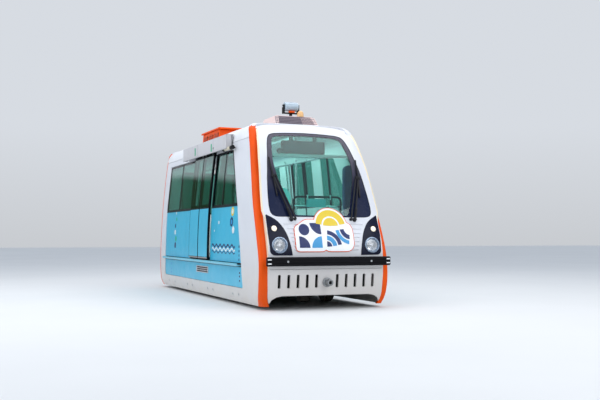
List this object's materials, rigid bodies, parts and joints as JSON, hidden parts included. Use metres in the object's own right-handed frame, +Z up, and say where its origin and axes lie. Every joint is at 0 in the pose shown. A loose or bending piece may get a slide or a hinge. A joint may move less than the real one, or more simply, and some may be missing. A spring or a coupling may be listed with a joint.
{
  "type": "monorail car",
  "caption": "Small rail-guided passenger car with a raked glazed nose, rounded coloured corner ribs, hung bi-parting side doors, roof gear and steered guide-wheel bogies.",
  "frame": {"origin": "middle of the bounding box's footprint, on the plane the wheels stand on", "axes": "+X to the nose along the track, +Y to the car's left, +Z up"},
  "size_m": [6.8594, 2.2258, 3.3242],
  "materials": {
    "body_white": "glossy glass-fibre shell",
    "door_blue": "satin paint",
    "rib_orange": "glossy moulded corner",
    "glass_tint": "green tinted glass",
    "lamp_navy": "gloss dark panel",
    "lamp_clear": "clear lens over a bright reflector",
    "black_rubber": "dull black",
    "steel": "brushed",
    "chassis": "dark matt paint",
    "wheel_tread": "machined tread on a dark wheel",
    "cover_grey": "satin light grey paint",
    "seat": "moulded seat shell",
    "floor": "ribbed floor covering",
    "black_paint": "satin black"
  },
  "bodies": {
    "car": {"bench_front_left": "seat", "bench_front_right": "seat", "bench_rear_left": "seat", "bench_rear_right": "seat", "bumper_bar": "black_rubber", "display_box": "black_paint", "door_cover_left": "cover_grey", "door_cover_right": "cover_grey", "drawbar": "steel", "floor_deck": "floor", "front_console": "cover_grey", "grab_rails": "steel", "headlamps_left": "lamp_clear", "headlamps_right": "lamp_clear", "lamp_panel_left": "lamp_navy", "lamp_panel_right": "lamp_navy", "nose_mask": "body_white", "nose_roof_housing": "rib_orange", "rear_wall": "body_white", "rear_window": "glass_tint", "rib_front_left": "rib_orange", "rib_front_right": "rib_orange", "rib_rear_left": "rib_orange", "rib_rear_right": "rib_orange", "roof_aircon_front": "body_white", "roof_aircon_rear": "body_white", "roof_lamp": "steel", "roof_shell": "body_white", "side_wall_left": "body_white", "side_wall_right": "body_white", "tail_roof_housing": "rib_orange", "tow_socket": "steel", "underframe": "chassis", "vent_grille_left": "steel", "vent_grille_right": "steel", "window_frame_left": "body_white", "window_frame_right": "body_white", "window_front_left": "glass_tint", "window_front_right": "glass_tint", "window_rear_left": "glass_tint", "window_rear_right": "glass_tint", "windscreen": "glass_tint"},
    "door_leaf_front_right": {"door_front_right": "door_blue", "door_glass_front_right": "glass_tint"},
    "door_leaf_rear_right": {"door_rear_right": "door_blue", "door_glass_rear_right": "glass_tint"},
    "wiper_arm_right": {"wiper_right": "black_paint"},
    "door_leaf_front_left": {"door_front_left": "door_blue", "door_glass_front_left": "glass_tint"},
    "door_leaf_rear_left": {"door_rear_left": "door_blue", "door_glass_rear_left": "glass_tint"},
    "wiper_arm_left": {"wiper_left": "black_paint"},
    "bogie_front": {"bogie_frame_front": "chassis"},
    "axle_front": {"wheelset_front": "wheel_tread"},
    "guide_front_a": {"guide_wheel_front_a": "wheel_tread"},
    "guide_front_b": {"guide_wheel_front_b": "wheel_tread"},
    "bogie_rear": {"bogie_frame_rear": "chassis"},
    "axle_rear": {"wheelset_rear": "wheel_tread"},
    "guide_rear_a": {"guide_wheel_rear_a": "wheel_tread"},
    "guide_rear_b": {"guide_wheel_rear_b": "wheel_tread"}
  },
  "joints": [
    {"name": "bogie_yaw_front", "type": "hinge", "parent": "car", "child": "bogie_front", "pos_m": [1.9, 0, 0.52], "axis": [0, 0, 1], "range_deg": [-8, 8]},
    {"name": "wheels_spin_front", "type": "hinge", "parent": "bogie_front", "child": "axle_front", "pos_m": [1.9, 0, 0.25], "axis": [0, 1, 0], "continuous": true},
    {"name": "guide_spin_front_a", "type": "hinge", "parent": "bogie_front", "child": "guide_front_a", "pos_m": [2.35, 0, 0.098], "axis": [0, 0, 1], "continuous": true},
    {"name": "guide_spin_front_b", "type": "hinge", "parent": "bogie_front", "child": "guide_front_b", "pos_m": [1.45, 0, 0.098], "axis": [0, 0, 1], "continuous": true},
    {"name": "bogie_yaw_rear", "type": "hinge", "parent": "car", "child": "bogie_rear", "pos_m": [-1.9, 0, 0.52], "axis": [0, 0, 1], "range_deg": [-8, 8]},
    {"name": "wheels_spin_rear", "type": "hinge", "parent": "bogie_rear", "child": "axle_rear", "pos_m": [-1.9, 0, 0.25], "axis": [0, 1, 0], "continuous": true},
    {"name": "guide_spin_rear_a", "type": "hinge", "parent": "bogie_rear", "child": "guide_rear_a", "pos_m": [-1.45, 0, 0.098], "axis": [0, 0, 1], "continuous": true},
    {"name": "guide_spin_rear_b", "type": "hinge", "parent": "bogie_rear", "child": "guide_rear_b", "pos_m": [-2.35, 0, 0.098], "axis": [0, 0, 1], "continuous": true},
    {"name": "door_slide_front_right", "type": "slide", "parent": "car", "child": "door_leaf_front_right", "axis": [1, 0, 0], "range_m": [0, 0.59]},
    {"name": "door_slide_rear_right", "type": "slide", "parent": "car", "child": "door_leaf_rear_right", "axis": [-1, 0, 0], "range_m": [0, 0.59]},
    {"name": "door_slide_front_left", "type": "slide", "parent": "car", "child": "door_leaf_front_left", "axis": [1, 0, 0], "range_m": [0, 0.59]},
    {"name": "door_slide_rear_left", "type": "slide", "parent": "car", "child": "door_leaf_rear_left", "axis": [-1, 0, 0], "range_m": [0, 0.59]},
    {"name": "wiper_sweep_right", "type": "hinge", "parent": "car", "child": "wiper_arm_right", "pos_m": [3.1476, -0.525, 1.34], "axis": [-0.9167, 0, -0.3996], "range_deg": [0, 36]},
    {"name": "wiper_sweep_left", "type": "hinge", "parent": "car", "child": "wiper_arm_left", "pos_m": [3.1476, 0.525, 1.34], "axis": [0.9167, 0, 0.3996], "range_deg": [0, 36]}
  ],
  "couplings": [
    {"joint": "door_slide_rear_right", "follows": "door_slide_front_right", "ratio": 1},
    {"joint": "door_slide_rear_left", "follows": "door_slide_front_left", "ratio": 1},
    {"joint": "wiper_sweep_left", "follows": "wiper_sweep_right", "ratio": 1}
  ]
}
